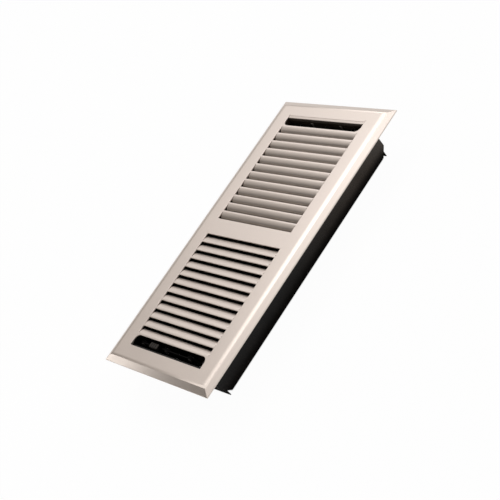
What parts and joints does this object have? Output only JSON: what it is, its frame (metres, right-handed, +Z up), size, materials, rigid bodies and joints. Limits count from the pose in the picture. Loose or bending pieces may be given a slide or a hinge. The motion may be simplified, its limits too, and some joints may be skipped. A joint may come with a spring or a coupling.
{
  "type": "floor register",
  "caption": "Drop-in floor register: a bevelled steel face with pressed louvers over a black box whose linked damper blades turn by a finger lever.",
  "frame": {"origin": "centre of the face plate's rim underside, where it lies on the floor", "axes": "+Z up out of the floor, +Y along the register, away from the lever end"},
  "size_m": [0.1334, 0.2816, 0.0397],
  "materials": {
    "champagne_paint": "satin, fine metallic",
    "black_paint": "semi-gloss",
    "rod_steel": "drawn wire, blackened",
    "rivet_steel": "plated",
    "grip_plastic": "moulded, grooved"
  },
  "bodies": {
    "box": {"face_plate": "champagne_paint", "side_panel_left": "black_paint", "side_panel_right": "black_paint", "end_plate_front": "black_paint", "end_plate_rear": "black_paint"},
    "damper_left": {"damper_blade_left": "black_paint", "damper_rod_left": "rod_steel", "damper_crank_left": "black_paint"},
    "damper_center": {"damper_blade_center": "black_paint", "damper_rod_center": "rod_steel", "damper_crank_center": "black_paint"},
    "damper_right": {"damper_blade_right": "black_paint", "damper_rod_right": "rod_steel", "damper_crank_right": "black_paint"},
    "link": {"link_bar": "black_paint", "link_rivets": "rivet_steel", "lever_grip": "grip_plastic"}
  },
  "joints": [
    {"name": "damper_turn", "type": "hinge", "parent": "box", "child": "damper_center", "pos_m": [0, 0, -0.01586], "axis": [0, 1, 0], "range_deg": [0, 90]},
    {"name": "left_blade_turn", "type": "hinge", "parent": "box", "child": "damper_left", "pos_m": [-0.03073, 0, -0.01586], "axis": [0, 1, 0], "range_deg": [0, 90]},
    {"name": "right_blade_turn", "type": "hinge", "parent": "box", "child": "damper_right", "pos_m": [0.03073, 0, -0.01586], "axis": [0, 1, 0], "range_deg": [0, 90]},
    {"name": "link_swing", "type": "hinge", "parent": "damper_center", "child": "link", "pos_m": [-0.01137, -0.1149, -0.00449], "axis": [0, 1, 0], "range_deg": [-90, 0]}
  ],
  "couplings": [
    {"joint": "left_blade_turn", "follows": "damper_turn", "ratio": 1},
    {"joint": "right_blade_turn", "follows": "damper_turn", "ratio": 1},
    {"joint": "link_swing", "follows": "damper_turn", "ratio": -1}
  ]
}
